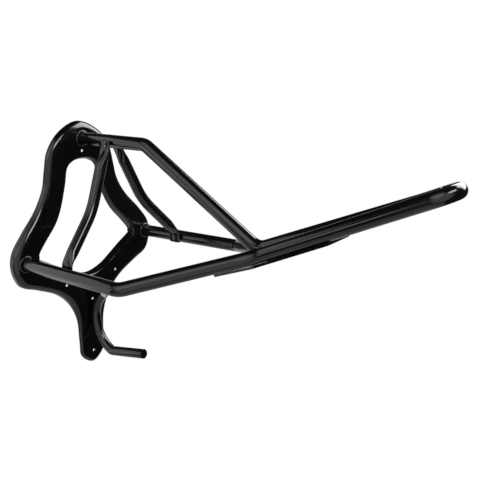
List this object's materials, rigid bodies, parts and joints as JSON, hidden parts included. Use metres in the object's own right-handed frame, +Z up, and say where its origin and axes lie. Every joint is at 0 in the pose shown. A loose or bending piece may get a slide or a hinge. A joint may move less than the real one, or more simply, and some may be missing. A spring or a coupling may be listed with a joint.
{
  "type": "wall-mounted saddle rack",
  "caption": "Wall-mounted saddle rack in gloss black coated steel tube on a pressed wall plate, with a bridle hook below.",
  "frame": {"origin": "on the wall plane, on the mirror plane, at the height where the two arms leave the side lobes of the wall plate", "axes": "+Y into the wall, so the rack reaches out along -Y; +X to the right for a person facing the wall; +Z up"},
  "size_m": [0.2342, 0.4992, 0.325],
  "materials": {
    "gloss_black_coating": "gloss",
    "coated_weld": "satin"
  },
  "bodies": {
    "root": {"wall_plate": "gloss_black_coating", "top_tube": "gloss_black_coating", "arm_tube": "gloss_black_coating", "brace_left": "gloss_black_coating", "brace_right": "gloss_black_coating", "bridle_hook": "gloss_black_coating", "tie_plate": "gloss_black_coating", "weld_top_tube": "coated_weld", "weld_arm_left": "coated_weld", "weld_arm_right": "coated_weld"}
  },
  "joints": []
}
